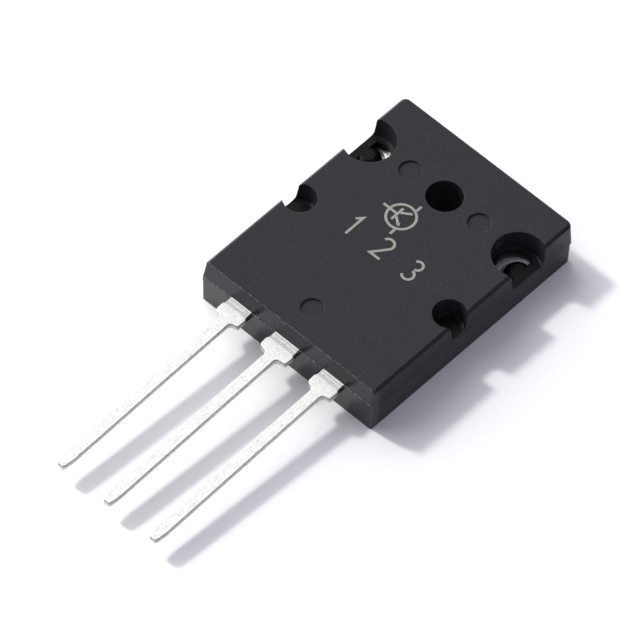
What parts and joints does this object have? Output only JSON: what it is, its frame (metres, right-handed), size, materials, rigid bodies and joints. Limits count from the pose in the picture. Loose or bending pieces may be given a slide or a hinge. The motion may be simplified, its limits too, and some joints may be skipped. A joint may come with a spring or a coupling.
{
  "type": "power transistor",
  "caption": "Flat moulded power transistor with a copper back plate, a screw hole, half-round side notches and straight leads in line.",
  "frame": {"origin": "axis of the mounting hole at the back face of the plate, the face that lies on the heat sink", "axes": "+Z leaves the marked face, +Y runs from the leads to the hole, +X crosses the leads from base to emitter"},
  "size_m": [0.0202, 0.0483, 0.0052],
  "materials": {
    "moulding_compound": "black filled epoxy compound, matte eroded surface",
    "tinned_copper": "matte tin plating over copper",
    "silicon": "metallised silicon chip",
    "die_solder": "dull grey solder",
    "bond_wire": "drawn aluminium wire"
  },
  "bodies": {
    "root": {"moulded_body": "moulding_compound", "collector_plate": "tinned_copper", "base_lead": "tinned_copper", "emitter_lead": "tinned_copper", "silicon_die": "silicon", "die_solder": "die_solder", "base_wire": "bond_wire", "inner_emitter_wire": "bond_wire", "outer_emitter_wire": "bond_wire"}
  },
  "joints": []
}
